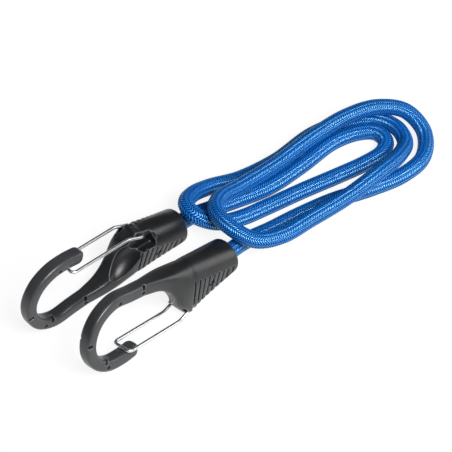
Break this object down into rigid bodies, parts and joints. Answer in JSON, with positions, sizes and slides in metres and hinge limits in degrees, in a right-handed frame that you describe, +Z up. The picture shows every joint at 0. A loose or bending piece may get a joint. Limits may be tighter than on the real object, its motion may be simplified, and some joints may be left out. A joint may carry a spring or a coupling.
{
  "type": "bungee cord",
  "caption": "Elastic cord in a braided sheath, laid in a loose hank, with a moulded plastic hook with a sprung wire gate on each end, for tying loads down.",
  "frame": {"origin": "On the floor, under the middle of the box round the two hooks.", "axes": "+Z up. The hooks lie side by side and point along -X, and the cord's hank lies on the +X side."},
  "size_m": [0.2584, 0.0762, 0.0474],
  "materials": {
    "hook_plastic": "moulded satin black plastic",
    "core_steel": "plain drawn steel",
    "gate_wire": "bright plated spring wire",
    "cord_braid": "braided blue filament yarn",
    "cord_rubber": "plain latex rubber"
  },
  "bodies": {
    "cord_and_hooks": {"near_hook_body": "hook_plastic", "near_steel_core": "core_steel", "near_cord_pin": "core_steel", "far_hook_body": "hook_plastic", "far_steel_core": "core_steel", "far_cord_pin": "core_steel", "cord_sheath": "cord_braid", "cord_core": "cord_rubber"},
    "near_gate": {"near_wire_gate": "gate_wire"},
    "far_gate": {"far_wire_gate": "gate_wire"}
  },
  "joints": [
    {"name": "near_gate_swing", "type": "hinge", "parent": "cord_and_hooks", "child": "near_gate", "pos_m": [0.02081, -0.01971, 0.00369], "axis": [-0.0554, 0.9889, -0.1376], "range_deg": [0, 25], "stiffness_Nm_per_rad": 0.2, "springref_deg": -5.73},
    {"name": "far_gate_swing", "type": "hinge", "parent": "cord_and_hooks", "child": "far_gate", "pos_m": [0.02219, 0.01867, 0.02743], "axis": [-0.0349, -0.9994, 0], "range_deg": [0, 25], "stiffness_Nm_per_rad": 0.2, "springref_deg": -5.73}
  ]
}
